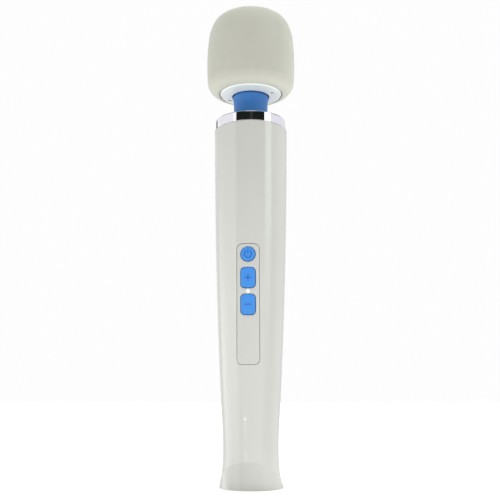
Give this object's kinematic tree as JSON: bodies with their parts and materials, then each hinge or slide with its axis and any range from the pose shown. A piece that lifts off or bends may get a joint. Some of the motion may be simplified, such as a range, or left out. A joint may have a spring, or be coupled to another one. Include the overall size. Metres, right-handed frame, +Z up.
{
  "type": "handheld wand massager",
  "caption": "Handheld wand massager: slim two-shell handle with keys on the front, chrome ring, flexible blue neck and a rounded soft silicone head.",
  "frame": {"origin": "centre of the base, on the surface it stands on", "axes": "+Z up the handle to the head; -Y is the front with the keys; +X is the viewer's right from the front"},
  "size_m": [0.0602, 0.0602, 0.3198],
  "materials": {
    "shell_silver": "smooth pale silver-grey, satin gloss",
    "panel_silver": "smooth pale silver-grey, satin gloss",
    "key_blue": "bright blue, satin",
    "lamp_clear": "clear plastic light pipe",
    "lamp_white": "surface-mounted lamp",
    "plunger_black": "black plastic",
    "silicone_grey": "soft pale grey silicone, matte",
    "silicone_blue": "soft blue silicone, matte",
    "trim_chrome": "polished",
    "collar_white": "white plastic",
    "plate_white": "glossy white plastic",
    "mount_black": "glass-filled black plastic",
    "core_grey": "glass-filled grey plastic",
    "screw_steel": "zinc-plated",
    "shaft_steel": "ground",
    "bearing_steel": "polished",
    "cage_brass": "pressed",
    "weight_steel": "turned",
    "spring_steel": "drawn wire",
    "coupling_rubber": "black rubber",
    "isolator_rubber": "black rubber",
    "can_steel": "zinc-plated",
    "end_cap_black": "black plastic",
    "bush_bronze": "sintered bronze",
    "magnet_ferrite": "ferrite",
    "brush_carbon": "carbon",
    "copper": "enamelled copper",
    "core_steel": "stacked sheet steel",
    "board_green": "solder mask",
    "chip_black": "moulded package",
    "switch_grey": "moulded",
    "capacitor_can": "sleeved can",
    "connector_white": "natural nylon",
    "lead_black": "insulated lead",
    "lead_red": "insulated lead",
    "base_grey": "pale grey plastic",
    "inlet_black": "black plastic",
    "contact_nickel": "nickel-plated"
  },
  "bodies": {
    "handle": {"front_shell": "shell_silver", "rear_shell": "shell_silver", "shell_screws": "screw_steel", "control_panel": "panel_silver", "control_board": "board_green", "tactile_switches": "switch_grey", "status_lamp": "lamp_white", "lamp_light_pipe": "lamp_clear", "board_screws": "screw_steel", "microcontroller": "chip_black", "driver_transistor": "chip_black", "smoothing_capacitor": "capacitor_can", "board_connectors": "connector_white", "supply_leads": "lead_black", "motor_leads": "lead_red", "motor_can": "can_steel", "motor_end_cap": "end_cap_black", "motor_magnets": "magnet_ferrite", "motor_brushes": "brush_carbon", "motor_front_bush": "bush_bronze", "motor_rear_bush": "bush_bronze", "motor_isolators": "isolator_rubber", "motor_screws": "screw_steel", "neck_mount": "mount_black", "neck_collar": "collar_white", "trim_ring": "trim_chrome", "base_plate": "base_grey", "inlet_collar": "inlet_black", "dc_jack": "inlet_black", "jack_centre_pin": "contact_nickel"},
    "neck": {"neck_boot": "silicone_blue", "neck_spring": "spring_steel"},
    "head": {"head_cover": "silicone_grey", "head_core": "core_grey", "head_base_plate": "plate_white", "head_screws": "screw_steel", "bearing_carrier": "core_grey", "bearing_outer_races": "bearing_steel"},
    "eccentric": {"eccentric_shaft": "shaft_steel", "eccentric_weight": "weight_steel", "weight_set_screw": "screw_steel", "bearing_inner_races": "bearing_steel"},
    "bearing_cage": {"bearing_balls": "bearing_steel", "bearing_cages": "cage_brass"},
    "rotor": {"motor_shaft": "shaft_steel", "rotor_core": "core_steel", "rotor_windings": "copper", "commutator": "copper"},
    "coupling": {"flexible_coupling": "coupling_rubber"},
    "power_key": {"power_button": "key_blue", "power_switch_plunger": "plunger_black"},
    "plus_key": {"plus_button": "key_blue", "plus_switch_plunger": "plunger_black"},
    "minus_key": {"minus_button": "key_blue", "minus_switch_plunger": "plunger_black"}
  },
  "joints": [
    {"name": "power_press", "type": "slide", "parent": "handle", "child": "power_key", "axis": [0, 1, 0], "range_m": [0, 0.0005], "stiffness_N_per_m": 3000},
    {"name": "plus_press", "type": "slide", "parent": "handle", "child": "plus_key", "axis": [0, 1, 0], "range_m": [0, 0.0005], "stiffness_N_per_m": 3000},
    {"name": "minus_press", "type": "slide", "parent": "handle", "child": "minus_key", "axis": [0, 1, 0], "range_m": [0, 0.0005], "stiffness_N_per_m": 3000},
    {"name": "neck_bend_lower", "type": "hinge", "parent": "handle", "child": "neck", "pos_m": [0, 0, 0.246], "axis": [1, 0, 0], "range_deg": [-12, 12], "stiffness_Nm_per_rad": 2.5, "deforming": ["neck_boot", "neck_spring", "flexible_coupling"]},
    {"name": "neck_bend_upper", "type": "hinge", "parent": "neck", "child": "head", "pos_m": [0, 0, 0.257], "axis": [0, 1, 0], "range_deg": [-12, 12], "stiffness_Nm_per_rad": 2.5, "deforming": ["neck_boot", "neck_spring", "flexible_coupling"]},
    {"name": "motor_spin", "type": "hinge", "parent": "handle", "child": "rotor", "pos_m": [0, 0, 0.2], "axis": [0, 0, 1], "continuous": true},
    {"name": "coupling_spin", "type": "hinge", "parent": "neck", "child": "coupling", "pos_m": [0, 0, 0.251], "axis": [0, 0, 1], "continuous": true},
    {"name": "eccentric_spin", "type": "hinge", "parent": "head", "child": "eccentric", "pos_m": [0, 0, 0.288], "axis": [0, 0, 1], "continuous": true},
    {"name": "bearing_cage_spin", "type": "hinge", "parent": "head", "child": "bearing_cage", "pos_m": [0, 0, 0.288], "axis": [0, 0, 1], "continuous": true}
  ],
  "couplings": [
    {"joint": "coupling_spin", "follows": "motor_spin", "ratio": 1},
    {"joint": "eccentric_spin", "follows": "motor_spin", "ratio": 1},
    {"joint": "bearing_cage_spin", "follows": "motor_spin", "ratio": 0.372}
  ]
}
